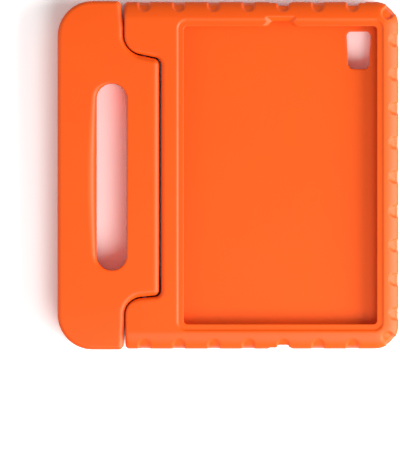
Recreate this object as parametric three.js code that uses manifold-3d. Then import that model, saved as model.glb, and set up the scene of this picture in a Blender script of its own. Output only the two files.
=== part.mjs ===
// A children's foam tablet case with a carry handle that folds back as a stand, in millimetres.
// It lies on its back: +Z comes out of the screen, +X points away from the handle and +Y is the tablet's top.
// Every piece is laid out from the tablet's centre line; the last lines centre the whole case on the origin.
import * as THREE from "three";
import { mergeVertices } from "three/addons/utils/BufferGeometryUtils.js";
import Module from "manifold-3d";

// The tablet that the case is moulded for.
const TABLET_WIDTH = 134.8;
const TABLET_HEIGHT = 195.4;
const TABLET_DEPTH = 6.3;
const TABLET_CORNER = 10;
const TABLET_CLEARANCE = 0.3;

// Foam round the tablet.
const SIDE_WALL = 4.9;
const END_WALL = 8.5;
const NOTCH_WALL = 5.85;
const BACK_WALL = 12;
const LIP_DEPTH = 3;
const SIDE_LIP = 8.3;
const END_LIP = 6.5;
const RIM_ROUND = 6;
const CASE_CORNER = 14.5;
const WINDOW_CORNER = 2.5;
const BAND_WIDTH = 3.7;
const BAND_DEPTH = 0.8;
const BAND_CORNER = 5.5;

// Grip grooves round the rim, and the nubs that the back stands on.
const GROOVE_WIDTH = 8;
const GROOVE_DEPTH = 0.7;
const GROOVE_FRONT_REACH = 6.3;
const GROOVE_BACK_REACH = 11;
const CORNER_GROOVE_REACH = 8;
const END_GROOVE_PITCH = 21.32;
const END_GROOVE_SHIFT = 1.69;
const SIDE_GROOVE_PITCH = 21;
const SIDE_GROOVE_SHIFT = -1;
const NUB_HEIGHT = 1;
const NUB_LENGTH = 6;
const NUB_WIDTH = 4.4;
const NUB_TIP_SHARE = 0.5;
const NUB_PITCH = 21.3;
const NUB_SHIFT = -10.65;
const NUB_COUNT = 7;
const NUB_OUTER_SIDE = 17.5;
const NUB_INNER_SIDE = 28.3;
const NUB_OUTER_END = 14;
const NUB_INNER_END = 23.5;

// Openings in the shell.
const PORT_NOTCH_WIDTH = 14;
const PORT_NOTCH_IN = 7.7;
const PORT_WIDTH = 11;
const NOTCH_ROOF = 4.5;
const NOTCH_CORNER = 2;
const BUTTON_NOTCH_X = 46.5;
const BUTTON_NOTCH_WIDTH = 11.4;
const BUTTON_WIDTH = 9;
const FRONT_CAMERA_NOTCH_WIDTH = 9.6;
const FRONT_CAMERA_NOTCH_HEIGHT = 2.8;
const FRONT_CAMERA_FLARE = 3.5;
const CAMERA_X = 48.2;
const CAMERA_TOP_MARGIN = 18.7;
const CAMERA_HEIGHT = 22.4;
const CAMERA_TOP_WIDTH = 14.8;
const CAMERA_FOOT_WIDTH = 12.3;
const CAMERA_CORNER = 3;
const CAMERA_FUNNEL_TOP = 6.8;
const CAMERA_FUNNEL_SIDE = 1.8;
const CAMERA_FUNNEL_FOOT = 0.6;
const SPEAKER_RADIUS = 1.65;
const SPEAKER_PITCH = 5.5;
const SPEAKER_COUNT = 4;
const SPEAKER_GROUP_X = 37;
const SPEAKER_IN = 7.4;

// Stylus channel along the side away from the handle.
const STYLUS_BORE = 9.2;
const STYLUS_SIDE_WALL = 1.8;
const STYLUS_BACK_WALL = 1.5;
const STYLUS_WINDOW_IN = 8.9;
const STYLUS_WINDOW_DEPTH = 8.6;
const STYLUS_TOP_MARGIN = 18.7;
const STYLUS_TOP_LENGTH = 38.2;
const STYLUS_FOOT_MARGIN = 25.5;
const STYLUS_FOOT_LENGTH = 45.8;

// Hinge: the handle's tongue turns between two ears of the shell.
const SEAM = 0.9;
const NOTCH_LENGTH = 143.4;
const EAR_LENGTH = 22.2;
const FLARE = THREE.MathUtils.degToRad(12);
const EAR_CORNER = 9;
const EAR_TIP_CORNER = 3;
const TONGUE_CORNER = 3;
const TONGUE_END_ROUND = 9;
const TONGUE_FRONT_ROUND = 3;
const NOTCH_BACK_ROUND = 10;
const SEAM_ROUND = 1.5;
const FOLD = THREE.MathUtils.degToRad(105);
const SWEEP_SPARE = 0.15;
const SWEEP_RISE = 6;
const ROD_RADIUS = 3;
const ROD_CLEARANCE = 0.3;
const ROD_CHAMFER = 0.6;
const SOCKET_WALL = 1.5;
const SOCKET_LENGTH = 18;
const SOCKET_END = 2;
const SOCKET_SETBACK = 1.5;
const SOCKET_CLEARANCE = 0.3;

// Handle.
const HANDLE_OVERHANG = 0.5;
const GRIP_WIDTH = 40.05;
const GRIP_CORNER = 21.5;
const GRIP_ROUND = 4;
const SHOULDER_CORNER = 3;
const SHOULDER_ROUND = 2;
const WEDGE = 1.2;
const SLOT_WIDTH = 18;
const SLOT_LENGTH = 114.7;
const SLOT_EDGE = 24.5;
const SLOT_SHIFT = -1;
const SLOT_BEVEL = 2.2;

// How finely curves are cut into flats.
const CORNER_STEPS = 6;
const WINDOW_STEPS = 3;
const EDGE_STEPS = 4;
const GROOVE_STEPS = 6;
const HOLE_STEPS = 12;
const TURNED_STEPS = 40;
const ROD_STEPS = 24;
const NUB_SIDES = 6;

// A cutter runs PAST the face that it cuts, and ARC_GAP keeps the two arcs of a half circle apart.
const RIGHT_ANGLE = Math.PI / 2;
const LEAST_RADIUS = 0.6;
const PAST = 5;
const ARC_GAP = 0.01;

// Heights, from the tips of the nubs.
const backFace = NUB_HEIGHT;
const bayFloor = backFace + BACK_WALL;
const bayRoof = bayFloor + TABLET_DEPTH + TABLET_CLEARANCE;
const frontFace = bayRoof + LIP_DEPTH;
const hingeZ = backFace + TONGUE_END_ROUND;
const notchRoof = frontFace - NOTCH_ROOF;

// Places in plan, from the tablet's centre.
const bayX = TABLET_WIDTH / 2 + TABLET_CLEARANCE;
const bayY = TABLET_HEIGHT / 2 + TABLET_CLEARANCE;
const windowX = bayX - SIDE_LIP;
const windowY = bayY - END_LIP;
const rightX = bayX + SIDE_WALL;
const endY = bayY + END_WALL;
const notchX = -bayX - NOTCH_WALL;
const earX = notchX - EAR_LENGTH;
const hingeX = notchX - SEAM - TONGUE_END_ROUND;
const gripX = earX - SEAM - GRIP_WIDTH;
const stylusX = rightX - STYLUS_SIDE_WALL - STYLUS_BORE / 2;
const stylusZ = backFace + STYLUS_BACK_WALL + STYLUS_BORE / 2;
const stylusWindows = [
  { low: endY - STYLUS_TOP_MARGIN - STYLUS_TOP_LENGTH, high: endY - STYLUS_TOP_MARGIN },
  { low: STYLUS_FOOT_MARGIN - endY, high: STYLUS_FOOT_MARGIN + STYLUS_FOOT_LENGTH - endY },
];
const handleY = endY + HANDLE_OVERHANG;
const earFaceY = NOTCH_LENGTH / 2 + (notchX - hingeX) * Math.tan(FLARE);
const socketMouthY = earFaceY + SOCKET_SETBACK;
const socketRadius = ROD_RADIUS + ROD_CLEARANCE + SOCKET_WALL;
const rodEndY = socketMouthY + SOCKET_LENGTH - SOCKET_END - ROD_CLEARANCE;

const wasm = await Module();
wasm.setup();

// A closed geometry as a solid that can be cut and joined.
function solid(geometry) {
  const bare = geometry.index ? geometry.toNonIndexed() : geometry.clone();
  for (const name of Object.keys(bare.attributes)) {
    if (name !== "position") bare.deleteAttribute(name);
  }
  const merged = mergeVertices(bare, 1e-4);
  const kept = [];
  const index = merged.index.array;
  for (let i = 0; i < index.length; i += 3) {
    const [a, b, c] = [index[i], index[i + 1], index[i + 2]];
    if (a !== b && b !== c && c !== a) kept.push(a, b, c);
  }
  return new wasm.Manifold(
    new wasm.Mesh({
      numProp: 3,
      vertProperties: merged.attributes.position.array,
      triVerts: new Uint32Array(kept),
    }),
  );
}

function geometryOf(manifold) {
  const mesh = manifold.getMesh();
  const geometry = new THREE.BufferGeometry();
  geometry.setAttribute("position", new THREE.BufferAttribute(new Float32Array(mesh.vertProperties), 3));
  geometry.setIndex(new THREE.BufferAttribute(new Uint32Array(mesh.triVerts), 1));
  return geometry;
}

function cut(body, ...tools) {
  return tools.reduce((left, tool) => left.subtract(tool), body);
}

function join(...bodies) {
  return bodies.reduce((whole, body) => whole.add(body));
}

// A block from its lowest to its highest corner.
function block(low, high) {
  const size = high.map((value, i) => value - low[i]);
  const middle = high.map((value, i) => (value + low[i]) / 2);
  return solid(new THREE.BoxGeometry(...size).translate(...middle));
}

// An outline is a counter-clockwise list of corners { x, y, r, back, front }: r rounds the corner in plan, and
// back and front round the two edges of the side that starts there.
function corner(x, y, r = 0, back = 0, front = back) {
  return { x, y, r, back, front };
}

// The same outline with each side moved inwards by its own amount.
function inset(corners, amountOf) {
  const sides = corners.map((from, i) => {
    const to = corners[(i + 1) % corners.length];
    const along = new THREE.Vector2(to.x - from.x, to.y - from.y).normalize();
    const amount = amountOf(from);
    const start = new THREE.Vector2(from.x - along.y * amount, from.y + along.x * amount);
    return { start, along, amount };
  });
  return corners.map((here, i) => {
    const before = sides[(i + corners.length - 1) % corners.length];
    const after = sides[i];
    const turn = before.along.cross(after.along);
    const reach = after.start.clone().sub(before.start).cross(after.along) / turn;
    const point = before.start.clone().addScaledVector(before.along, reach);
    const change = (Math.sign(turn) * (before.amount + after.amount)) / 2;
    const r = here.r ? Math.max(here.r - change, LEAST_RADIUS) : 0;
    return { ...here, x: point.x, y: point.y, r };
  });
}

// The outline's points, with an arc at each rounded corner.
function points(corners, steps = CORNER_STEPS) {
  return corners.flatMap((here, i) => {
    if (!here.r) return [new THREE.Vector2(here.x, here.y)];
    const before = corners[(i + corners.length - 1) % corners.length];
    const after = corners[(i + 1) % corners.length];
    const into = new THREE.Vector2(here.x - before.x, here.y - before.y).normalize();
    const out = new THREE.Vector2(after.x - here.x, after.y - here.y).normalize();
    const turn = Math.atan2(into.cross(out), into.dot(out));
    const tangent = here.r * Math.tan(Math.abs(turn) / 2);
    const side = Math.sign(turn);
    const start = new THREE.Vector2(here.x, here.y).addScaledVector(into, -tangent);
    const centre = start.clone().add(new THREE.Vector2(-into.y, into.x).multiplyScalar(side * here.r));
    const count = Math.max(2, Math.round((steps * Math.abs(turn)) / RIGHT_ANGLE));
    const spoke = start.sub(centre);
    return Array.from({ length: count + 1 }, (_, step) =>
      spoke.clone().rotateAround(new THREE.Vector2(), (turn * step) / count).add(centre),
    );
  });
}

// A closed skin through rings of equally many points, each ring at its own height.
function loft(rings) {
  const count = rings[0].points.length;
  const flat = rings.flatMap((ring) => ring.points.flatMap((p) => [p.x, p.y, ring.z]));
  const faces = [];
  for (let level = 0; level + 1 < rings.length; level += 1) {
    for (let i = 0; i < count; i += 1) {
      const a = level * count + i;
      const b = level * count + ((i + 1) % count);
      faces.push(a, b, b + count, a, b + count, a + count);
    }
  }
  const top = (rings.length - 1) * count;
  for (const [a, b, c] of THREE.ShapeUtils.triangulateShape(rings[0].points, [])) faces.push(a, c, b);
  for (const [a, b, c] of THREE.ShapeUtils.triangulateShape(rings.at(-1).points, [])) {
    faces.push(top + a, top + b, top + c);
  }
  const geometry = new THREE.BufferGeometry();
  geometry.setAttribute("position", new THREE.Float32BufferAttribute(flat, 3));
  geometry.setIndex(faces);
  return solid(geometry);
}

// How far a side with a rounded edge stands back at a depth below the face.
function standBack(round, depth) {
  if (depth >= round) return 0;
  return round - Math.sqrt(round ** 2 - (round - depth) ** 2);
}

// A thick plate whose sides each have their own rounded back and front edge.
function slab(corners, low, high) {
  const depths = (key) => {
    const largest = Math.max(...corners.map((c) => c[key]));
    return Array.from({ length: EDGE_STEPS + 1 }, (_, i) =>
      largest * (1 - Math.cos((RIGHT_ANGLE * i) / EDGE_STEPS)),
    );
  };
  const ring = (z, key, depth) => ({ z, points: points(inset(corners, (c) => standBack(c[key], depth))) });
  return loft([
    ...depths("back").map((depth) => ring(low + depth, "back", depth)),
    ...depths("front").reverse().map((depth) => ring(high - depth, "front", depth)),
  ]);
}

// A straight-sided plate of an outline.
function plate(corners, low, high, steps = CORNER_STEPS) {
  const flat = points(corners, steps);
  return loft([{ z: low, points: flat }, { z: high, points: flat }]);
}

function rectangle(x0, y0, x1, y1, r = 0) {
  return [corner(x0, y0, r), corner(x1, y0, r), corner(x1, y1, r), corner(x0, y1, r)];
}

// A body turned about the hinge axis from a closed profile of [radius, y] points, for the upper or lower side.
function turned(profile, steps, side = 1) {
  const outline = profile.map(([radius, y]) => new THREE.Vector2(radius, side * y));
  if (side < 0) outline.reverse();
  return solid(new THREE.LatheGeometry(outline, steps).translate(hingeX, 0, hingeZ));
}

// The seam between the ears and the handle, for its upper half: the corners of the side that stands off by gap.
function seamCorners(gap) {
  const line = (x) => NOTCH_LENGTH / 2 - gap / Math.cos(FLARE) + (notchX - x) * Math.tan(FLARE);
  return {
    inner: [notchX - gap, line(notchX - gap), TONGUE_CORNER + SEAM - gap],
    outer: [earX - gap, line(earX - gap), EAR_CORNER + gap],
  };
}

// The shell's outline, with the notch that the tongue lies in.
function shellOutline() {
  const { inner, outer } = seamCorners(0);
  return [
    corner(rightX, -endY, CASE_CORNER, RIM_ROUND),
    corner(rightX, endY, CASE_CORNER, RIM_ROUND),
    corner(earX, endY, EAR_TIP_CORNER, RIM_ROUND, SEAM_ROUND),
    corner(outer[0], outer[1], outer[2], SEAM_ROUND),
    corner(inner[0], inner[1], inner[2], NOTCH_BACK_ROUND, SEAM_ROUND),
    corner(inner[0], -inner[1], inner[2], SEAM_ROUND),
    corner(outer[0], -outer[1], outer[2], RIM_ROUND, SEAM_ROUND),
    corner(earX, -endY, EAR_TIP_CORNER, RIM_ROUND),
  ];
}

// Every place a whole number of pitches away from a start, between two ends.
function places(start, pitch, low, high) {
  const first = Math.ceil((low - start) / pitch);
  const last = Math.floor((high - start) / pitch);
  return Array.from({ length: last - first + 1 }, (_, i) => start + (first + i) * pitch);
}

// One groove's column, running in from an edge point along a direction and round at its inner end.
function grooveColumn(x, y, angle, reach, low, high) {
  const half = GROOVE_WIDTH / 2;
  const local = [
    corner(-PAST, -half),
    corner(reach, -half, half),
    corner(reach, half, half),
    corner(-PAST, half),
  ];
  const placed = local.map((c) => {
    const at = new THREE.Vector2(c.x, c.y).rotateAround(new THREE.Vector2(), angle);
    return { ...c, x: x + at.x, y: y + at.y };
  });
  return plate(placed, low, high, GROOVE_STEPS / 2);
}

// All grooves: along both ends, down the side away from the handle and over its two corners.
function grooves(outline) {
  const middle = (backFace + frontFace) / 2;
  const columns = [];
  const add = (x, y, angle, frontReach, backReach) => {
    columns.push(grooveColumn(x, y, angle, frontReach, middle, frontFace + PAST));
    columns.push(grooveColumn(x, y, angle, backReach, -PAST, middle));
  };
  const spare = GROOVE_WIDTH / 2;
  const firstX = earX + EAR_TIP_CORNER + spare;
  const lastX = rightX - CASE_CORNER - spare;
  for (const x of places(END_GROOVE_SHIFT, END_GROOVE_PITCH, firstX, lastX)) {
    add(x, endY, -RIGHT_ANGLE, GROOVE_FRONT_REACH, GROOVE_BACK_REACH);
    add(x, -endY, RIGHT_ANGLE, GROOVE_FRONT_REACH, GROOVE_BACK_REACH);
  }
  const lastY = endY - CASE_CORNER - spare;
  for (const y of places(SIDE_GROOVE_SHIFT, SIDE_GROOVE_PITCH, -lastY, lastY)) {
    add(rightX, y, 2 * RIGHT_ANGLE, GROOVE_FRONT_REACH, GROOVE_BACK_REACH);
  }
  const cornerIn = CASE_CORNER * (1 - Math.SQRT1_2);
  const diagonal = RIGHT_ANGLE + RIGHT_ANGLE / 2;
  for (const side of [1, -1]) {
    const y = side * (endY - cornerIn);
    add(rightX - cornerIn, y, -side * diagonal, CORNER_GROOVE_REACH, CORNER_GROOVE_REACH);
  }
  const coreOutline = inset(outline, () => GROOVE_DEPTH).map((c) => ({
    ...c,
    back: Math.max(c.back - GROOVE_DEPTH, 0),
    front: Math.max(c.front - GROOVE_DEPTH, 0),
  }));
  const core = slab(coreOutline, backFace + GROOVE_DEPTH, frontFace - GROOVE_DEPTH);
  return columns.map((column) => column.subtract(core));
}

// Low lozenge nubs in two staggered rows along both ends and down the side away from the handle.
function nubs() {
  const made = [];
  const add = (x, y) => {
    const height = NUB_HEIGHT + GROOVE_DEPTH;
    const nub = new THREE.CylinderGeometry(0.5, NUB_TIP_SHARE / 2, height, NUB_SIDES);
    nub.rotateX(RIGHT_ANGLE).scale(NUB_LENGTH, NUB_WIDTH, 1).translate(x, y, height / 2);
    made.push(solid(nub));
  };
  const row = (count) =>
    Array.from({ length: count }, (_, i) => NUB_SHIFT + (i - (count - 1) / 2) * NUB_PITCH);
  for (const y of row(NUB_COUNT)) add(rightX - NUB_OUTER_SIDE, y);
  for (const y of row(NUB_COUNT - 1)) add(rightX - NUB_INNER_SIDE, y);
  for (const side of [1, -1]) {
    const clear = (x) => side < 0 || Math.abs(x - CAMERA_X) > CAMERA_TOP_WIDTH;
    for (const x of row(NUB_COUNT).filter(clear)) add(x, side * (endY - NUB_OUTER_END));
    for (const x of row(NUB_COUNT - 1).filter(clear)) add(x, side * (endY - NUB_INNER_END));
  }
  return made;
}

// The camera opening narrows upwards from a funnel in the back to the tablet.
function cameraOpening() {
  const top = endY - CAMERA_TOP_MARGIN;
  const foot = top - CAMERA_HEIGHT;
  const ring = (side, above, below, r, z) => ({
    z,
    points: points([
      corner(CAMERA_X - CAMERA_FOOT_WIDTH / 2 - side, foot - below, r),
      corner(CAMERA_X + CAMERA_FOOT_WIDTH / 2 + side, foot - below, r),
      corner(CAMERA_X + CAMERA_TOP_WIDTH / 2 + side, top + above, r),
      corner(CAMERA_X - CAMERA_TOP_WIDTH / 2 - side, top + above, r),
    ]),
  });
  return loft([
    ring(CAMERA_FUNNEL_SIDE, CAMERA_FUNNEL_TOP, CAMERA_FUNNEL_FOOT, CAMERA_CORNER * 2, -PAST),
    ring(CAMERA_FUNNEL_SIDE, CAMERA_FUNNEL_TOP, CAMERA_FUNNEL_FOOT, CAMERA_CORNER * 2, backFace),
    ring(0, 0, 0, CAMERA_CORNER, bayFloor),
    ring(0, 0, 0, CAMERA_CORNER, bayFloor + TABLET_DEPTH / 2),
  ]);
}

// The little notch over the tablet's front camera: straight through the lip, flared towards the front.
function frontCameraNotch() {
  const half = FRONT_CAMERA_NOTCH_WIDTH / 2;
  const top = windowY + FRONT_CAMERA_NOTCH_HEIGHT;
  const shape = (spread, rise) =>
    [
      [-half - spread - FRONT_CAMERA_FLARE / 2, windowY - PAST],
      [half + spread + FRONT_CAMERA_FLARE / 2, windowY - PAST],
      [half + spread, top + rise],
      [-half - spread, top + rise],
    ].map(([x, y]) => new THREE.Vector2(x, y));
  return loft([
    { z: bayRoof - LIP_DEPTH, points: shape(0, 0) },
    { z: bayRoof + LIP_DEPTH / 3, points: shape(0, 0) },
    { z: frontFace + LIP_DEPTH / 3, points: shape(FRONT_CAMERA_FLARE, FRONT_CAMERA_FLARE) },
  ]);
}

// A notch in an end wall, open to the back and to the end, with a port through to the tablet if one is given.
function endNotch(x, side, width, portWidth) {
  const inner = endY - PORT_NOTCH_IN;
  const [low, high] = side > 0 ? [inner, endY + PAST] : [-endY - PAST, -inner];
  const tools = [plate(rectangle(x - width / 2, low, x + width / 2, high, NOTCH_CORNER), -PAST, notchRoof)];
  if (portWidth) {
    const [near, far] = side > 0 ? [bayY - PAST, inner + PAST] : [-inner - PAST, -bayY + PAST];
    tools.push(
      block(
        [x - portWidth / 2, near, bayFloor + TABLET_CLEARANCE],
        [x + portWidth / 2, far, notchRoof - TABLET_CLEARANCE],
      ),
    );
  }
  return tools;
}

// Sound holes from the back into the gap below the tablet.
function speakerHoles() {
  const holes = [];
  for (const group of [-SPEAKER_GROUP_X, SPEAKER_GROUP_X]) {
    for (let i = 0; i < SPEAKER_COUNT; i += 1) {
      const x = group + (i - (SPEAKER_COUNT - 1) / 2) * SPEAKER_PITCH;
      const height = bayFloor + TABLET_DEPTH / 2;
      const hole = new THREE.CylinderGeometry(SPEAKER_RADIUS, SPEAKER_RADIUS, height, HOLE_STEPS);
      hole.rotateX(RIGHT_ANGLE).translate(x, -endY + SPEAKER_IN, height / 2);
      holes.push(solid(hole));
    }
  }
  return holes;
}

// The stylus channel: one bore under a bridge, and a window open to the side and back at each end.
function stylusChannel() {
  const low = Math.min(...stylusWindows.map((w) => w.low));
  const high = Math.max(...stylusWindows.map((w) => w.high));
  const bore = new THREE.CylinderGeometry(STYLUS_BORE / 2, STYLUS_BORE / 2, high - low, HOLE_STEPS * 2);
  bore.translate(stylusX, (low + high) / 2, stylusZ);
  const windows = stylusWindows.map((w) =>
    plate(
      rectangle(rightX - STYLUS_WINDOW_IN, w.low, rightX + PAST, w.high, NOTCH_CORNER),
      -PAST,
      backFace + STYLUS_WINDOW_DEPTH,
    ),
  );
  return [solid(bore), ...windows];
}

// The room that the handle sweeps in each ear as it folds: the seam's own curve turned about the hinge axis, a
// little larger. Towards the tablet it ends where the handle's back comes to stand when it is folded right back.
function foldSweep(side) {
  const grown = inset(shellOutline(), () => SWEEP_SPARE);
  const seam = points(grown).filter((p) => p.y > 0 && p.x < hingeX && p.y < endY - RIM_ROUND);
  const edge = seam.map((p) => [hingeX - p.x, p.y]).sort((a, b) => b[0] - a[0]);
  const [earRadius, arcEnd] = edge[0];
  const reach = 2 * earRadius;
  const room = (top, ...bridge) => {
    const profile = [[0, 0], [reach, 0], [reach, top], ...bridge, ...edge, [0, earFaceY + SWEEP_SPARE]];
    return turned(profile, TURNED_STEPS, side);
  };
  const [low, high] = [side * (NOTCH_LENGTH / 4), side * (endY + PAST)].sort((a, b) => a - b);
  const outboard = block([hingeX - reach, low, -PAST], [hingeX, high, hingeZ - SWEEP_SPARE]);
  const inboard = block([hingeX - SEAM, low, -PAST], [hingeX + reach, high, hingeZ + SWEEP_RISE]);
  const foldedBack = TONGUE_END_ROUND + 2 * SWEEP_SPARE;
  const folded = new THREE.BoxGeometry(2 * reach, high - low, 4 * reach);
  folded.translate(foldedBack - reach, (low + high) / 2, 0).rotateY(RIGHT_ANGLE - FOLD);
  folded.translate(hingeX, 0, hingeZ);
  return join(
    room(endY + PAST, [earRadius, endY + PAST]).intersect(outboard),
    room(arcEnd).intersect(inboard).intersect(solid(folded)),
  );
}

function hingePocket(side) {
  const far = socketMouthY + SOCKET_LENGTH + SOCKET_CLEARANCE;
  const near = earFaceY - PAST;
  const radius = socketRadius + SOCKET_CLEARANCE;
  const pocket = new THREE.CylinderGeometry(radius, radius, far - near, ROD_STEPS);
  return solid(pocket.translate(hingeX, (side * (far + near)) / 2, hingeZ));
}

function shellSolid() {
  const outline = shellOutline();
  const band = rectangle(
    -windowX - BAND_WIDTH,
    -windowY - BAND_WIDTH,
    windowX + BAND_WIDTH,
    windowY + BAND_WIDTH,
    BAND_CORNER,
  );
  const window = rectangle(-windowX, -windowY, windowX, windowY, WINDOW_CORNER);
  const rough = cut(slab(outline, backFace, frontFace), ...grooves(outline));
  return cut(
    join(rough, ...nubs()),
    plate(rectangle(-bayX, -bayY, bayX, bayY, TABLET_CORNER), bayFloor, bayRoof),
    plate(window, bayRoof - LIP_DEPTH, frontFace + PAST, WINDOW_STEPS),
    plate(band, frontFace - BAND_DEPTH, frontFace + PAST, WINDOW_STEPS),
    frontCameraNotch(),
    cameraOpening(),
    ...endNotch(0, -1, PORT_NOTCH_WIDTH, PORT_WIDTH),
    ...endNotch(0, 1, PORT_NOTCH_WIDTH, 0),
    ...endNotch(BUTTON_NOTCH_X, 1, BUTTON_NOTCH_WIDTH, BUTTON_WIDTH),
    ...speakerHoles(),
    ...stylusChannel(),
    foldSweep(1),
    foldSweep(-1),
    hingePocket(1),
    hingePocket(-1),
  );
}

function handleOutline() {
  const { inner, outer } = seamCorners(SEAM);
  const lean = outer[0] - WEDGE;
  return [
    corner(inner[0], -inner[1], inner[2], TONGUE_END_ROUND, TONGUE_FRONT_ROUND),
    corner(inner[0], inner[1], inner[2], SEAM_ROUND),
    corner(outer[0], outer[1], outer[2], SHOULDER_ROUND),
    corner(lean, handleY, SHOULDER_CORNER, GRIP_ROUND),
    corner(gripX, handleY, GRIP_CORNER, GRIP_ROUND),
    corner(gripX, -handleY, GRIP_CORNER, GRIP_ROUND),
    corner(lean, -handleY, SHOULDER_CORNER, SHOULDER_ROUND),
    corner(outer[0], -outer[1], outer[2], SEAM_ROUND),
  ];
}

// The finger slot, with a bevelled rim at the back and the front.
function fingerSlot() {
  const left = gripX + SLOT_EDGE;
  const stadium = (grow) =>
    points(
      rectangle(
        left - grow,
        SLOT_SHIFT - SLOT_LENGTH / 2 - grow,
        left + SLOT_WIDTH + grow,
        SLOT_SHIFT + SLOT_LENGTH / 2 + grow,
        SLOT_WIDTH / 2 + grow - ARC_GAP,
      ),
    );
  return loft([
    { z: backFace - SLOT_BEVEL, points: stadium(2 * SLOT_BEVEL) },
    { z: backFace + SLOT_BEVEL, points: stadium(0) },
    { z: frontFace - SLOT_BEVEL, points: stadium(0) },
    { z: frontFace + SLOT_BEVEL, points: stadium(2 * SLOT_BEVEL) },
  ]);
}

function handleSolid() {
  const boreRadius = ROD_RADIUS + ROD_CLEARANCE;
  const bore = new THREE.CylinderGeometry(boreRadius, boreRadius, 2 * handleY, ROD_STEPS);
  bore.translate(hingeX, 0, hingeZ);
  return cut(slab(handleOutline(), backFace, frontFace), fingerSlot(), solid(bore));
}

function rodSolid() {
  const tip = ROD_RADIUS - ROD_CHAMFER;
  const straight = rodEndY - ROD_CHAMFER;
  return turned(
    [[0, -rodEndY], [tip, -rodEndY], [ROD_RADIUS, -straight], [ROD_RADIUS, straight], [tip, rodEndY], [0, rodEndY]],
    ROD_STEPS,
  );
}

// A blind bush that the rod's end turns in, open towards the tongue.
function socketSolid(side) {
  const bore = ROD_RADIUS + ROD_CLEARANCE;
  const mouth = socketMouthY;
  const end = mouth + SOCKET_LENGTH;
  const floor = end - SOCKET_END;
  const outside = [[bore, mouth], [socketRadius, mouth], [socketRadius, end], [0, end]];
  const profile = [...outside, [0, floor], [bore, floor], [bore, mouth]];
  return turned(profile, ROD_STEPS, side);
}

// Closed-cell foam for the two mouldings, hard plastic for the bushes and plated steel for the rod.
const foam = { color: 0xfd6221, roughness: 0.82, metalness: 0 };
const bush = { color: 0x2b2b2e, roughness: 0.5, metalness: 0 };
const steel = { color: 0xb9bcc2, roughness: 0.3, metalness: 1 };

const tabletCase = new THREE.Group();
tabletCase.name = "kids_tablet_case";

function addPiece(parent, name, body, finish) {
  const mesh = new THREE.Mesh(geometryOf(body), new THREE.MeshStandardMaterial(finish));
  mesh.name = name;
  parent.add(mesh);
}

const shellGroup = new THREE.Group();
addPiece(shellGroup, "case_shell", shellSolid(), foam);
addPiece(shellGroup, "hinge_socket_top", socketSolid(1), bush);
addPiece(shellGroup, "hinge_socket_bottom", socketSolid(-1), bush);

const handleGroup = new THREE.Group();
addPiece(handleGroup, "carry_handle", handleSolid(), foam);
addPiece(handleGroup, "hinge_rod", rodSolid(), steel);

tabletCase.add(shellGroup, handleGroup);
tabletCase.position.x = -(rightX + gripX) / 2;

export default tabletCase;
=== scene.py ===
"""A children's foam tablet case, lying on its back with its carry handle flat, seen from straight above."""
import math

import bpy
import numpy as np
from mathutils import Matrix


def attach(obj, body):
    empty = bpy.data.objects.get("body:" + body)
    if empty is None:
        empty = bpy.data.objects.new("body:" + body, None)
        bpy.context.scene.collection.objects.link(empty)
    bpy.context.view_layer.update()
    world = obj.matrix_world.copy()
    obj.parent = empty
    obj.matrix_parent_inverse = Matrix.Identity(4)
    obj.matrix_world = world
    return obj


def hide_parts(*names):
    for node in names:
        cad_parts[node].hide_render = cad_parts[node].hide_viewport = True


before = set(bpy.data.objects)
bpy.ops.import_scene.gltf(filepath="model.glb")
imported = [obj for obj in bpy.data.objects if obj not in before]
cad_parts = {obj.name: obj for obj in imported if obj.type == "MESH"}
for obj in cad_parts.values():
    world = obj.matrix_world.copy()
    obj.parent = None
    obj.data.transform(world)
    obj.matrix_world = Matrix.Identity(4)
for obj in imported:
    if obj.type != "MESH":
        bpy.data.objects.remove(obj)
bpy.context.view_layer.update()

# Case shell
# One soft shell of closed-cell foam, moulded in a two-part tool. Its rim is grooved for grip, its back
# stands on low nubs, and two ears at the handle's side hold the hinge. Sizes are millimetres from the
# middle of its bay, and CASE_SHIFT takes them to the frame.
MM = 0.001
CASE_SHIFT = 32.05
BAY_X, BAY_Y, BAY_CORNER, BAY_EDGE = 67.7, 98.0, 10.0, 0.6
BACK_FACE, BAY_FLOOR, BAY_ROOF, FRONT_FACE = 1.0, 13.0, 19.6, 22.6
BAY_MIDDLE, BAY_HALF = (BAY_FLOOR + BAY_ROOF) / 2, (BAY_ROOF - BAY_FLOOR) / 2
MIDDLE, HALF_DEPTH = (BACK_FACE + FRONT_FACE) / 2, (FRONT_FACE - BACK_FACE) / 2
SIDE_WALL, END_WALL, NOTCH_WALL, EAR_LENGTH = 4.9, 8.5, 5.85, 22.2
RIGHT_X, END_Y = BAY_X + SIDE_WALL, BAY_Y + END_WALL
NOTCH_X = -BAY_X - NOTCH_WALL
EAR_X = NOTCH_X - EAR_LENGTH

# A fade is its start and its length, and FAR is a distance well outside the foam.
FACE_FADE = (0, 3)
FAR = 9.0
STEP = 0.6


def ramp(value, start, length):
    """Rises from 0 to 1 over a length past its start."""
    return np.clip((value - start) / length, 0, 1)


def round_join(a, b, radius):
    """Two forms joined, with a fillet of that radius between them."""
    flare = np.hypot(np.maximum(radius - a, 0), np.maximum(radius - b, 0))
    return np.maximum(radius, np.minimum(a, b)) - flare


def round_common(a, b, radius):
    """What two forms share, with its new edge rounded."""
    flare = np.hypot(np.maximum(radius + a, 0), np.maximum(radius + b, 0))
    return np.minimum(-radius, np.maximum(a, b)) + flare


def carve(body, tool, radius):
    """A form with a tool's shape cut out of it and the new edge rounded."""
    return round_common(body, -tool, radius)


def plan_box(x, y, half_x, half_y, corner):
    """Distance in plan to a rectangle with round corners, centred on the origin."""
    over_x, over_y = np.abs(x) - half_x + corner, np.abs(y) - half_y + corner
    outside = np.hypot(np.maximum(over_x, 0), np.maximum(over_y, 0))
    return outside + np.minimum(np.maximum(over_x, over_y), 0) - corner


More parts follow.
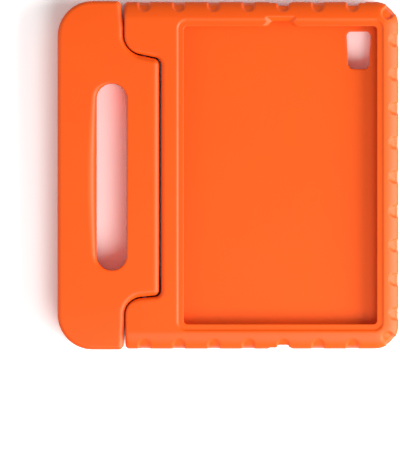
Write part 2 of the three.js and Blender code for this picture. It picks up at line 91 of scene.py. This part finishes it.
def nearest(value, pitch, lowest, highest):
    """Distance to the nearest of a row of places at whole multiples of a pitch."""
    return value - pitch * np.clip(np.round(value / pitch), lowest, highest)


CASE_CORNER, RIM_ROUND, RIM_WIDTH, RIM_DEPTH, RIM_TILT = 14.5, 6.0, 10.0, 4.5, 0.14
GROOVE_HALF, GROOVE_DEPTH, CORNER_DEPTH, GROOVE_SLOPE = 4.0, 0.75, 1.2, 1.6
GROOVE_FRONT_REACH, GROOVE_BACK_REACH, CORNER_REACH = 6.3, 11.0, 8.0
END_PITCH, END_SHIFT, SIDE_PITCH, SIDE_SHIFT = 21.32, 1.69, 21.0, -1.0
PARTING_SHARE, PARTING_FADE = 0.4, (2, 5)


def groove_depth(x, y, reach):
    """How deep the rim grooves are: each runs in from the edge to a half circle, steep at its own edge."""
    ay = np.abs(y)
    end_in = np.maximum(END_Y - ay - reach + GROOVE_HALF, 0)
    side_in = np.maximum(RIGHT_X - x - reach + GROOVE_HALF, 0)
    ends = np.hypot(nearest(x - END_SHIFT, END_PITCH, -4, 2), end_in)
    sides = np.hypot(nearest(y - SIDE_SHIFT, SIDE_PITCH, -4, 4), side_in)
    out_x, out_y = x - RIGHT_X + CASE_CORNER, ay - END_Y + CASE_CORNER
    depth = CASE_CORNER - (out_x + out_y) * math.sqrt(0.5)
    corner_in = np.maximum(depth - CORNER_REACH + GROOVE_HALF, 0)
    corners = np.hypot((out_x - out_y) * math.sqrt(0.5), corner_in)
    deepest = np.where(corners < GROOVE_HALF, CORNER_DEPTH, GROOVE_DEPTH)
    inside = GROOVE_HALF - np.minimum(np.minimum(ends, sides), corners)
    return deepest * (1 - (1 - ramp(inside, 0, GROOVE_SLOPE)) ** 2)


def rim_body(x, y, z):
    """The shell's outer form, whose front edge swells and whose grooves fade where the tool parts."""
    lowest_x = EAR_X - 2 * CASE_CORNER
    centre = (RIGHT_X + lowest_x) / 2
    plan = plan_box(x - centre, y, (RIGHT_X - lowest_x) / 2, END_Y, CASE_CORNER)
    front = ramp(z - MIDDLE, *FACE_FADE)
    faces = np.abs(z - MIDDLE) - HALF_DEPTH + RIM_TILT * np.maximum(plan + RIM_WIDTH, 0) * front
    plan = plan * (1 + (RIM_DEPTH / RIM_WIDTH - 1) * front)
    body = round_common(plan, faces, RIM_ROUND + (RIM_DEPTH - RIM_ROUND) * front)
    reach = np.where(z > MIDDLE, GROOVE_FRONT_REACH, GROOVE_BACK_REACH)
    share = PARTING_SHARE + (1 - PARTING_SHARE) * ramp(np.abs(z - MIDDLE), *PARTING_FADE)
    return body + groove_depth(x, y, reach) * share


TOP_HALF, TOP_FLARE = 71.7, math.tan(math.radians(12))
FOOT_HALF, FOOT_FLARE, FOOT_EAR_SHIFT = 74.3, math.tan(math.radians(5.5)), 0.7
EAR_CORNER, TONGUE_CORNER, NOTCH_SPARE = 9.0, 3.9, 0.4
EAR_EDGE, EAR_TIP_EDGE, NOTCH_EDGE, NOTCH_BACK_ROUND, EAR_BACK_ROUND = 1.2, 2.2, 2.6, 10.0, 6.0
TIP_FADE, EAR_FADE, NOTCH_FADE, BACK_FADE = (END_Y - 8, 6), (EAR_X + 3, 5), (NOTCH_X - 4, 3), (66, 8)


def handle_side(x, y):
    """Distance in plan to the side of the seam that belongs to the handle, whose foot end leans less."""
    foot = y < 0
    half, flare = np.where(foot, FOOT_HALF, TOP_HALF), np.where(foot, FOOT_FLARE, TOP_FLARE)
    slope = (np.abs(y) - half - (NOTCH_X - x) * flare) / np.hypot(1, flare)
    tongue = round_common(x - NOTCH_X, slope, TONGUE_CORNER)
    return round_join(tongue, x - EAR_X - FOOT_EAR_SHIFT * foot, EAR_CORNER)


def cut_seam(body, x, y, z):
    """The notch between the ears, rounded more at the ears' tips, at its own end and on the back."""
    ay = np.abs(y)
    front_edge = EAR_EDGE + (EAR_TIP_EDGE - EAR_EDGE) * ramp(ay, *TIP_FADE)
    front_edge = front_edge + (NOTCH_EDGE - EAR_EDGE) * ramp(x, *EAR_FADE)
    back_edge = NOTCH_BACK_ROUND + (EAR_BACK_ROUND - NOTCH_BACK_ROUND) * ramp(ay, *BACK_FADE)
    back = ramp(MIDDLE - z, *FACE_FADE)
    seam = handle_side(x, y) - NOTCH_SPARE * ramp(x, *NOTCH_FADE)
    return carve(body, seam, front_edge + (back_edge - front_edge) * back)


SEAM, EAR_SEAM, TONGUE_ROUND = 0.9, 0.6, 9.0
HINGE_X, HINGE_Z = NOTCH_X - SEAM - TONGUE_ROUND, BACK_FACE + TONGUE_ROUND
SWEEP_SPARE, SWEEP_RISE, RELIEF_HALF, RELIEF_EDGE = 0.25, 6.0, 83.7, 0.6
FOLD_PAST_UPRIGHT = math.radians(15)


def cut_relief(body, x, y, z):
    """The relief behind the notch: the room that the tongue's sides sweep while the handle folds."""
    turn = np.hypot(x - HINGE_X, z - HINGE_Z)
    folded = (x - HINGE_X) * math.cos(FOLD_PAST_UPRIGHT) + (z - HINGE_Z) * math.sin(FOLD_PAST_UPRIGHT)
    inboard = np.maximum(folded - TONGUE_ROUND - 2 * SWEEP_SPARE, z - HINGE_Z - SWEEP_RISE)
    inboard = np.maximum(inboard, np.abs(y) - RELIEF_HALF)
    reached = np.where(x > HINGE_X, inboard, z - HINGE_Z)
    swept = np.maximum(handle_side(HINGE_X - turn, y) - SWEEP_SPARE, reached)
    return carve(body, swept, RELIEF_EDGE)


CAMERA_X, CAMERA_TOP, CAMERA_FOOT, CAMERA_HALF, CAMERA_CORNER = 48.2, 87.8, 65.4, 6.15, 3
FUNNEL_TOP, FUNNEL_FOOT, FUNNEL_SIDE, FUNNEL_CORNER = 6.8, 0.6, 1.8, 2
CAMERA_SPREAD, CAMERA_EDGE, CUT_PAST = 1.25, 0.9, 3


def camera_opening(x, y, z):
    """The camera opening, which narrows from a funnel in the back up to the bay."""
    funnel = ramp(BAY_FLOOR - z, 0, BAY_FLOOR - BACK_FACE)
    top, foot = CAMERA_TOP + FUNNEL_TOP * funnel, CAMERA_FOOT - FUNNEL_FOOT * funnel
    half = CAMERA_HALF + CAMERA_SPREAD * (y - foot) / (top - foot) + FUNNEL_SIDE * funnel
    sides = np.abs(x - CAMERA_X) - half
    ends = np.maximum(y - top, foot - y)
    opening = round_common(sides, ends, CAMERA_CORNER + FUNNEL_CORNER * funnel)
    return np.maximum(opening, z - BAY_FLOOR - CUT_PAST)


NUB_PITCH, NUB_LENGTH, NUB_WIDTH, NUB_DOME, NUB_FOOT, CAMERA_CLEAR = 21.3, 3.0, 2.2, 1.7, 0.9, 14.8
OUTER_END_ROW, INNER_END_ROW = END_Y - 14, END_Y - 23.5
OUTER_SIDE_ROW, INNER_SIDE_ROW = RIGHT_X - 17.5, RIGHT_X - 28.3


def nub(along, across, z):
    """A low almond-shaped nub on the back, from its own middle in plan."""
    rise = (z - BACK_FACE - NUB_DOME + 1) / NUB_DOME
    reach = np.sqrt((along / NUB_LENGTH) ** 2 + (across / NUB_WIDTH) ** 2 + rise ** 2)
    return (reach - 1) * NUB_DOME


def back_nubs(x, y, z):
    """Two staggered rows of nubs along each end and along the right side, clear of the camera's opening."""
    ay = np.abs(y)
    inner_end = nub(nearest(x, NUB_PITCH, -3, 2), ay - INNER_END_ROW, z)
    outer_end = nub(nearest(x - NUB_PITCH / 2, NUB_PITCH, -4, 2), ay - OUTER_END_ROW, z)
    near_camera = (y > 0) & (np.abs(x - CAMERA_X) < CAMERA_CLEAR)
    ends = np.where(near_camera, FAR, np.minimum(inner_end, outer_end))
    outer_side = nub(x - OUTER_SIDE_ROW, nearest(y + NUB_PITCH / 2, NUB_PITCH, -3, 3), z)
    inner_side = nub(x - INNER_SIDE_ROW, nearest(y, NUB_PITCH, -3, 2), z)
    return np.minimum(ends, np.minimum(outer_side, inner_side))


SIDE_LIP, END_LIP, WINDOW_CORNER, WINDOW_EDGE, CUT_FOOT = 8.3, 6.5, 2.5, 0.8, 16
WINDOW_X, WINDOW_Y = BAY_X - SIDE_LIP, BAY_Y - END_LIP
BAND_WIDTH, BAND_DEPTH, BAND_CORNER, BAND_EDGE, BAND_SLOPE = 3.7, 0.9, 5.5, 0.3, 0.6
BAND_X, BAND_Y = WINDOW_X + BAND_WIDTH, WINDOW_Y + BAND_WIDTH
LENS_HALF, LENS_TOP, LENS_LENGTH, LENS_CORNER, LENS_EDGE = 4.8, 2.8, 8, 0.8, 0.5
LENS_SPREAD, LENS_SPREAD_END, LENS_BEVEL, LENS_BEVEL_RISE, LENS_TOP_SHARE = 0.9, 3.4, 3.8, 2.4, 0.7


def cut_window(body, x, y, z):
    """The window in the front lip, and the shallow band round it, whose wall slopes."""
    window = plan_box(x, y, WINDOW_X, WINDOW_Y, WINDOW_CORNER)
    body = carve(body, np.maximum(window, CUT_FOOT - z), WINDOW_EDGE)
    slope = BAND_SLOPE * (2 * np.clip((z - FRONT_FACE + BAND_DEPTH) / BAND_DEPTH, 0, 1.3) - 1)
    band = plan_box(x, y, BAND_X, BAND_Y, BAND_CORNER) - slope
    return carve(body, np.maximum(band, FRONT_FACE - BAND_DEPTH - z), BAND_EDGE)


def cut_lens_notch(body, x, y, z):
    """The lens notch in the middle of the window's top edge, bevelled towards the front."""
    flare = LENS_BEVEL * np.clip((z - BAY_ROOF) / LENS_BEVEL_RISE, 0, 1.25)
    below = WINDOW_Y + LENS_TOP - y
    sides = np.abs(x) - LENS_HALF - flare - LENS_SPREAD * np.clip(below, 0, LENS_SPREAD_END)
    notch = round_common(sides, -below - LENS_TOP_SHARE * flare, LENS_CORNER)
    notch = np.maximum(np.maximum(notch, below - LENS_LENGTH), CUT_FOOT - z)
    return carve(body, notch, LENS_EDGE)


END_NOTCH_IN, END_NOTCH_LIP, END_NOTCH_CORNER = 7.7, 4.5, 2
END_NOTCH_ROOF_ROUND, END_NOTCH_EDGE = 1.5, 0.4
PORT_Z, PORT_HALF_HEIGHT, PORT_CORNER = 15.55, 2.25, 1

# Each end notch is its end, its middle, its half width and its port's half width, 0 where it has no port.
END_NOTCHES = ((-1, 0, 7, 5.5), (1, 0, 7, 0), (1, 46.5, 5.7, 4.5))


def end_notch(x, y, z, centre, half, port_half):
    """A notch in an end wall, open to the back, with a port through to the bay."""
    notch = round_common(np.abs(x - centre) - half, END_Y - END_NOTCH_IN - y, END_NOTCH_CORNER)
    notch = round_common(notch, z - FRONT_FACE + END_NOTCH_LIP, END_NOTCH_ROOF_ROUND)
    if not port_half:
        return notch
    port = round_common(np.abs(x - centre) - port_half, np.abs(z - PORT_Z) - PORT_HALF_HEIGHT, PORT_CORNER)
    return np.minimum(notch, np.maximum(port, BAY_Y - CUT_PAST - y))


SPEAKER_X, SPEAKER_IN, SPEAKER_PITCH = 37, 7.4, 5.5
SPEAKER_RADIUS, SPEAKER_TOP, SPEAKER_EDGE = 1.65, 16.1, 0.35


def speaker_holes(x, y, z):
    """Two groups of four small holes through the back, at the foot of the bay."""
    along = np.abs(x) - SPEAKER_X
    across = along - SPEAKER_PITCH * (np.clip(np.round(along / SPEAKER_PITCH - 0.5), -2, 1) + 0.5)
    return np.maximum(np.hypot(across, y + END_Y - SPEAKER_IN) - SPEAKER_RADIUS, z - SPEAKER_TOP)


STYLUS_X, STYLUS_Z, STYLUS_RADIUS = RIGHT_X - 6.4, BACK_FACE + 6.1, 4.6
STYLUS_Y, STYLUS_HALF, STYLUS_END_ROUND, STYLUS_EDGE = 3.4, 84.4, 1, 0.9
STYLUS_WINDOW_X, STYLUS_WINDOW_TOP, STYLUS_WINDOW_CORNER = RIGHT_X - 8.9, BACK_FACE + 8.6, 2
TOP_WINDOW_Y, TOP_WINDOW_HALF, FOOT_WINDOW_Y, FOOT_WINDOW_HALF = 68.7, 19.1, -58.1, 22.9


def stylus_channel(x, y, z):
    """The stylus bore under its bridge, and the two windows that open it to the side and back."""
    bore = np.hypot(x - STYLUS_X, z - STYLUS_Z) - STYLUS_RADIUS
    bore = round_common(bore, np.abs(y - STYLUS_Y) - STYLUS_HALF, STYLUS_END_ROUND)
    inner = STYLUS_WINDOW_X - x
    top = round_common(inner, np.abs(y - TOP_WINDOW_Y) - TOP_WINDOW_HALF, STYLUS_WINDOW_CORNER)
    foot = round_common(inner, np.abs(y - FOOT_WINDOW_Y) - FOOT_WINDOW_HALF, STYLUS_WINDOW_CORNER)
    windows = round_common(np.minimum(top, foot), z - STYLUS_WINDOW_TOP, STYLUS_END_ROUND)
    return np.minimum(bore, windows)


POCKET_RADIUS, POCKET_Y, POCKET_HALF, POCKET_EDGE = 5.1, 83.8, 15, 0.3


def socket_pockets(x, y, z):
    """The bores in the ears that the hinge's bushes are glued into."""
    ay = np.abs(y)
    bore = np.hypot(x - HINGE_X, z - HINGE_Z) - POCKET_RADIUS
    return np.where(ay > POCKET_Y - POCKET_HALF, np.maximum(bore, np.abs(ay - POCKET_Y) - POCKET_HALF), FAR)


def shell_field(x, y, z):
    """Signed distance to the shell's foam, negative inside it."""
    body = rim_body(x, y, z)
    body = cut_seam(body, x, y, z)
    body = cut_relief(body, x, y, z)
    body = round_join(body, back_nubs(x, y, z), NUB_FOOT)
    bay = np.maximum(plan_box(x, y, BAY_X, BAY_Y, BAY_CORNER), np.abs(z - BAY_MIDDLE) - BAY_HALF)
    body = carve(body, bay, BAY_EDGE)
    body = cut_window(body, x, y, z)
    body = cut_lens_notch(body, x, y, z)
    body = carve(body, camera_opening(x, y, z), CAMERA_EDGE)
    for side, centre, half, port_half in END_NOTCHES:
        body = carve(body, end_notch(x, side * y, z, centre, half, port_half), END_NOTCH_EDGE)
    body = carve(body, speaker_holes(x, y, z), SPEAKER_EDGE)
    body = carve(body, stylus_channel(x, y, z), STYLUS_EDGE)
    return carve(body, socket_pockets(x, y, z), POCKET_EDGE)


def graded(low, high, fine_places):
    """Grid lines along one axis, closer together round the places where the form has a sharp step."""
    lines = [np.arange(low - 2 * STEP, high + 2.5 * STEP, STEP)]
    lines += [place + STEP * np.array([-0.75, -0.25, 0.25, 0.75]) for place in fine_places]
    lines = np.sort(np.concatenate(lines))
    return lines[np.append(True, np.diff(lines) > 0.2 * STEP)]


def surface_net(field, low, high, fine_places):
    """A closed quad skin on a field's zero level, with one point in each cell that the surface crosses."""
    axes = [graded(*span) for span in zip(low, high, fine_places)]
    solid = field(axes[0][:, None, None], axes[1][None, :, None], axes[2][None, None, :])
    full = np.broadcast_to(solid, [len(a) for a in axes])
    inside = full < 0
    corners = [(i, j, k) for i in (0, 1) for j in (0, 1) for k in (0, 1)]
    shape = np.array(full.shape) - 1
    count = np.zeros(shape, int)
    for i, j, k in corners:
        count += inside[i:i + shape[0], j:j + shape[1], k:k + shape[2]]
    cells = np.argwhere((count > 0) & (count < 8))
    value = {c: full[tuple((cells + c).T)] for c in corners}
    total, crossings = np.zeros((len(cells), 3)), np.zeros(len(cells))
    for start in corners:
        for axis in range(3):
            if start[axis]:
                continue
            end = tuple(1 if n == axis else start[n] for n in range(3))
            a, b = value[start], value[end]
            crossed = (a < 0) != (b < 0)
            share = np.where(crossed, a / np.where(crossed, a - b, 1), 0)
            place = np.array(start, float)[None, :].repeat(len(cells), 0)
            place[:, axis] += share
            total += place * crossed[:, None]
            crossings += crossed
    share = total / crossings[:, None]
    first = np.stack([axes[n][cells[:, n]] for n in range(3)], axis=1)
    second = np.stack([axes[n][cells[:, n] + 1] for n in range(3)], axis=1)
    points = first + (second - first) * share
    for _ in range(3):
        points = points - settle(field, points)
    number = np.full(shape, -1)
    number[tuple(cells.T)] = np.arange(len(cells))
    return points, np.vstack([net_faces(inside, number, axis) for axis in range(3)])


def settle(field, points, probe=0.05):
    """How far each point has to move along the field's slope to lie on its surface."""
    x, y, z = points.T
    value = field(x, y, z)
    slope = np.stack([
        field(x + probe, y, z) - field(x - probe, y, z),
        field(x, y + probe, z) - field(x, y - probe, z),
        field(x, y, z + probe) - field(x, y, z - probe),
    ], axis=1) / (2 * probe)
    length = np.maximum((slope ** 2).sum(axis=1), 0.2)
    move = slope * (value / length)[:, None]
    size = np.linalg.norm(move, axis=1, keepdims=True)
    return move * np.minimum(1, 0.5 * STEP / np.maximum(size, 1e-9))


def net_faces(inside, number, axis):
    """A quad round each grid edge along one axis that the surface crosses, facing out."""
    first, second = [n for n in range(3) if n != axis]
    low, high = [slice(1, -1)] * 3, [slice(1, -1)] * 3
    low[axis], high[axis] = slice(0, -1), slice(1, None)
    before, after = inside[tuple(low)], inside[tuple(high)]
    quads = []
    for crossed, turned in ((before & ~after, axis == 1), (~before & after, axis != 1)):
        at = np.argwhere(crossed) + [0 if n == axis else 1 for n in range(3)]
        ring = []
        for step_first, step_second in ((1, 1), (0, 1), (0, 0), (1, 0)):
            cell = at.copy()
            cell[:, first] -= step_first
            cell[:, second] -= step_second
            ring.append(number[tuple(cell.T)])
        quad = np.stack(ring, axis=1)
        quads.append(quad[:, ::-1] if turned else quad)
    return np.vstack(quads)


def moulded(name, field, low, high, fine_places, most_triangles):
    """A foam moulding as a mesh object: the net of its field, thinned where it is flat and shaded smooth."""
    points, quads = surface_net(field, low, high, fine_places)
    points[:, 0] += CASE_SHIFT
    mesh = bpy.data.meshes.new(name)
    mesh.from_pydata((points * MM).tolist(), [], quads.tolist())
    mesh.shade_smooth()
    piece = bpy.data.objects.new(name, mesh)
    bpy.context.scene.collection.objects.link(piece)
    thin = piece.modifiers.new("thin", "DECIMATE")
    thin.ratio = min(1, most_triangles / (2 * len(quads)))
    even = piece.modifiers.new("even", "WEIGHTED_NORMAL")
    even.weight = 80
    finished = piece.evaluated_get(bpy.context.evaluated_depsgraph_get())
    made = bpy.data.meshes.new_from_object(finished)
    piece.modifiers.clear()
    piece.data = made
    return piece


class Socket:
    """A shader socket that takes part in sums, so that a pattern reads as one expression."""

    def __init__(self, tree, link):
        self.tree, self.link = tree, link

    def node(self, kind, inputs=(), output=0, **settings):
        made = self.tree.nodes.new("ShaderNode" + kind)
        for name, value in settings.items():
            setattr(made, name, value)
        for name, value in dict(inputs).items():
            if isinstance(value, Socket):
                self.tree.links.new(value.link, made.inputs[name])
            else:
                made.inputs[name].default_value = value
        return Socket(self.tree, made.outputs[output])

    def math(self, operation, other):
        return self.node("Math", {0: self, 1: other}, operation=operation)

    def __add__(self, other):
        return self.math("ADD", other)

    def __mul__(self, other):
        return self.math("MULTIPLY", other)

    __radd__ = __add__
    __rmul__ = __mul__


def new_material(name):
    """A bare node material: its Principled shader and its Object coordinates."""
    material = bpy.data.materials.new(name)
    material.use_nodes = True
    tree = material.node_tree
    shader = tree.nodes["Principled BSDF"]
    place = tree.nodes.new("ShaderNodeTexCoord").outputs["Object"]
    return material, shader, Socket(tree, place)


def feed(shader, name, socket):
    socket.tree.links.new(socket.link, shader.inputs[name])


FOAM_COLOUR = (0.99, 0.117, 0.006, 1)
FOAM_DEEP = (0.95, 0.1, 0.004, 1)


def foam_material(name):
    """Moulded closed-cell foam: a matt skin with fine pores, faint clouding and a soft sheen."""
    material, shader, place = new_material(name)
    cloud = place.node("TexNoise", {"Vector": place, "Scale": 38.0, "Detail": 3.0, "Roughness": 0.55})
    fleck = place.node("TexNoise", {"Vector": place, "Scale": 950.0, "Detail": 2.0, "Roughness": 0.6})
    pores = place.node("TexVoronoi", {"Vector": place, "Scale": 1500.0, "Randomness": 1.0})
    tints = {0: cloud * 0.7 + fleck * 0.35, 6: FOAM_COLOUR, 7: FOAM_DEEP}
    feed(shader, "Base Color", place.node("Mix", tints, output=2, data_type="RGBA", blend_type="MIX"))
    feed(shader, "Roughness", 0.34 + fleck * 0.1 + cloud * 0.05)
    height = fleck * 0.6 + pores * 0.4
    feed(shader, "Normal", place.node("Bump", {"Height": height, "Strength": 0.35, "Distance": 0.00012}))
    shader.inputs["Specular IOR Level"].default_value = 0.34
    return material


foam = foam_material("moulded_foam")
shell_steps = (
    [-BAND_X, -WINDOW_X, WINDOW_X, BAND_X],
    [-BAND_Y, -WINDOW_Y, WINDOW_Y, BAND_Y],
    [FRONT_FACE - 0.4, FRONT_FACE - BAND_DEPTH],
)
shell_low, shell_high = (EAR_X, -END_Y, 0), (RIGHT_X, END_Y, FRONT_FACE)
shell = moulded("foam_shell", shell_field, shell_low, shell_high, shell_steps, 190000)
shell.data.materials.append(foam)
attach(shell, "shell")
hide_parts("case_shell")

# Carry handle
# A second foam moulding: a wide grip with a finger slot, and a tongue that lies between the shell's ears.
# It turns about the hinge, so the tongue's back edge is round about the hinge's axis.
HANDLE_Y, GRIP_WIDTH, GRIP_CORNER, GRIP_ROUND, GRIP_EDGE = 107.0, 40.05, 21.5, 4.0, 2.2
GRIP_X = EAR_X - SEAM - GRIP_WIDTH
SLOT_X, SLOT_Y, SLOT_HALF_LENGTH, SLOT_HALF_WIDTH = GRIP_X + 33.2, -1.0, 57.35, 9.3
SLOT_EDGE, SLOT_GRIP_ROUND, SLOT_END_ROUND = 0.5, 6.0, 2.4
GRIP_DOME, DOME_FADE = 1.4, (76.0, HANDLE_Y - 76.0)
TOP_LEAN, FOOT_LEAN, SHOULDER_FADE = 1.65, 0.7, (91.0, HANDLE_Y - 91.0)
SEAM_BEVEL, SEAM_LEAN, SEAM_CORNER, SHOULDER_CORNER = 2.5, math.radians(36), 0.5, 3.0
TONGUE_FADE, CORNER_FADE = (EAR_X, 8), (HANDLE_Y - 7, 5)
ROD_HOLE, ROD_HOLE_EDGE = 3.3, 0.3


def handle_body(x, y, z):
    """The handle's outer form, up to the seam, with domed ends and a bevel along the seam."""
    ay = np.abs(y)
    far_x = NOTCH_X + 2 * GRIP_CORNER
    middle_x = (GRIP_X + far_x) / 2
    plan = plan_box(x - middle_x, y, (far_x - GRIP_X) / 2, HANDLE_Y, GRIP_CORNER)
    front = ramp(z - MIDDLE, *FACE_FADE)
    dome = GRIP_DOME * ramp(ay, *DOME_FADE) ** 2 * front
    faces = np.abs(z + dome / 2 - MIDDLE) - HALF_DEPTH + dome / 2
    body = round_common(plan, faces, GRIP_ROUND + (GRIP_EDGE - GRIP_ROUND) * front)
    lean = np.where(y > 0, TOP_LEAN, FOOT_LEAN) * ramp(ay, *SHOULDER_FADE)
    seam = handle_side(x + lean, y) + EAR_SEAM + (SEAM - EAR_SEAM) * ramp(x, *TONGUE_FADE)
    body = round_common(body, seam, SEAM_CORNER + (SHOULDER_CORNER - SEAM_CORNER) * ramp(ay, *CORNER_FADE))
    bevel = (seam + SEAM_BEVEL) * math.sin(SEAM_LEAN) + (z + dome - FRONT_FACE) * math.cos(SEAM_LEAN)
    return round_common(body, bevel, SEAM_CORNER)


def cut_finger_slot(body, x, y):
    """The finger slot, whose edge is rounded on the grip's side, most in the middle."""
    slot = plan_box(x - SLOT_X, y - SLOT_Y, SLOT_HALF_WIDTH, SLOT_HALF_LENGTH, SLOT_HALF_WIDTH)
    bow = np.maximum(1 - ((y - SLOT_Y) / SLOT_HALF_LENGTH) ** 2, 0)
    grip_round = SLOT_END_ROUND + (SLOT_GRIP_ROUND - SLOT_END_ROUND) * bow
    return carve(body, slot, SLOT_EDGE + (grip_round - SLOT_EDGE) * ramp(SLOT_X - x, 0, SLOT_HALF_WIDTH))


def handle_field(x, y, z):
    """Signed distance to the handle's foam, negative inside it."""
    body = handle_body(x, y, z)
    cap = np.hypot(np.maximum(x - HINGE_X, 0), np.minimum(z - HINGE_Z, 0)) - TONGUE_ROUND
    body = cut_finger_slot(np.maximum(body, cap), x, y)
    return carve(body, np.hypot(x - HINGE_X, z - HINGE_Z) - ROD_HOLE, ROD_HOLE_EDGE)


handle_low, handle_high = (GRIP_X, -HANDLE_Y, BACK_FACE), (NOTCH_X, HANDLE_Y, FRONT_FACE)
handle = moulded("foam_handle", handle_field, handle_low, handle_high, ([], [], []), 150000)
handle.data.materials.append(foam)
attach(handle, "handle")
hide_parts("carry_handle")

# Hinge
# A plated steel rod through the tongue, whose ends turn in two blind plastic bushes glued into the ears.
# All three are hidden in the foam, and their turned shapes are kept as built.


def plain_material(name, colour, roughness, metallic, grain):
    """A plain hard finish with a fine turned or moulded grain."""
    material, shader, place = new_material(name)
    noise = place.node("TexNoise", {"Vector": place, "Scale": grain, "Detail": 2.0})
    feed(shader, "Roughness", noise * 0.15 + roughness)
    feed(shader, "Normal", place.node("Bump", {"Height": noise, "Strength": 0.15, "Distance": 0.0001}))
    shader.inputs["Base Color"].default_value = colour
    shader.inputs["Metallic"].default_value = metallic
    return material


steel = plain_material("plated_steel", (0.48, 0.49, 0.52, 1), 0.25, 1.0, 2500.0)
bush = plain_material("bush_plastic", (0.02, 0.02, 0.022, 1), 0.42, 0.0, 1200.0)
for node, material in (("hinge_rod", steel), ("hinge_socket_top", bush), ("hinge_socket_bottom", bush)):
    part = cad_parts[node]
    if part.material_slots:
        part.material_slots[0].material = material
    else:
        part.data.materials.append(material)

# Stage
# A white table, a soft lamp low on the right with weaker ones at the foot and on the left, and a camera
# straight above. The table is paler to the camera than in the light that it throws back on the foam,
# and it keeps the shadow of the case.
FRAME_HEIGHT_PX, FRAME_WIDTH_PX, PX_PER_MM = 450, 400, 1.63
CASE_CENTRE_PX = (228.1, 175.2)
CAMERA_DISTANCE, SENSOR, TABLE_SIZE, WORLD_LIGHT = 6.0, 36.0, 6, 0.2
TABLE_SHADE, TABLE_SHADE_SEEN = 0.9, 1.45

bpy.ops.mesh.primitive_plane_add(size=TABLE_SIZE, location=(0, 0, 0))
floor = bpy.context.object
floor.name = "table_top"
white, white_shader, white_place = new_material("white_table")
seen = white_place.node("LightPath", output="Is Camera Ray")
feed(white_shader, "Base Color", seen * (TABLE_SHADE_SEEN - TABLE_SHADE) + TABLE_SHADE)
white_shader.inputs["Roughness"].default_value = 0.9
white_shader.inputs["Specular IOR Level"].default_value = 0.2
floor.data.materials.append(white)


def area_lamp(name, place, size, power):
    """A square soft lamp that faces the case."""
    data = bpy.data.lights.new(name, "AREA")
    data.energy, data.size = power, size
    lamp = bpy.data.objects.new(name, data)
    lamp.location = place
    lamp.rotation_euler = (-lamp.location).to_track_quat("-Z", "Y").to_euler()
    bpy.context.scene.collection.objects.link(lamp)


area_lamp("soft_lamp_right", (1.2, -0.28, 0.53), 1.1, 28.5)
area_lamp("soft_lamp_foot", (0.3, -0.65, 0.95), 0.7, 7.5)
area_lamp("soft_lamp_left", (-1.1, 0.1, 0.6), 1.0, 4)

world = bpy.data.worlds.new("studio")
bpy.context.scene.world = world
world.use_nodes = True
world.node_tree.nodes["Background"].inputs["Color"].default_value = (1, 1, 1, 1)
world.node_tree.nodes["Background"].inputs["Strength"].default_value = WORLD_LIGHT

frame_height = FRAME_HEIGHT_PX / PX_PER_MM * MM
camera_data = bpy.data.cameras.new("camera")
camera_data.sensor_width = SENSOR
camera_data.lens = SENSOR * CAMERA_DISTANCE / frame_height
camera = bpy.data.objects.new("camera", camera_data)
camera.location = (
    (FRAME_WIDTH_PX / 2 - CASE_CENTRE_PX[0]) / PX_PER_MM * MM,
    (CASE_CENTRE_PX[1] - FRAME_HEIGHT_PX / 2) / PX_PER_MM * MM,
    CAMERA_DISTANCE + FRONT_FACE * MM,
)
bpy.context.scene.collection.objects.link(camera)
bpy.context.scene.camera = camera
bpy.context.scene.view_settings.view_transform = "Standard"

bpy.context.view_layer.update()
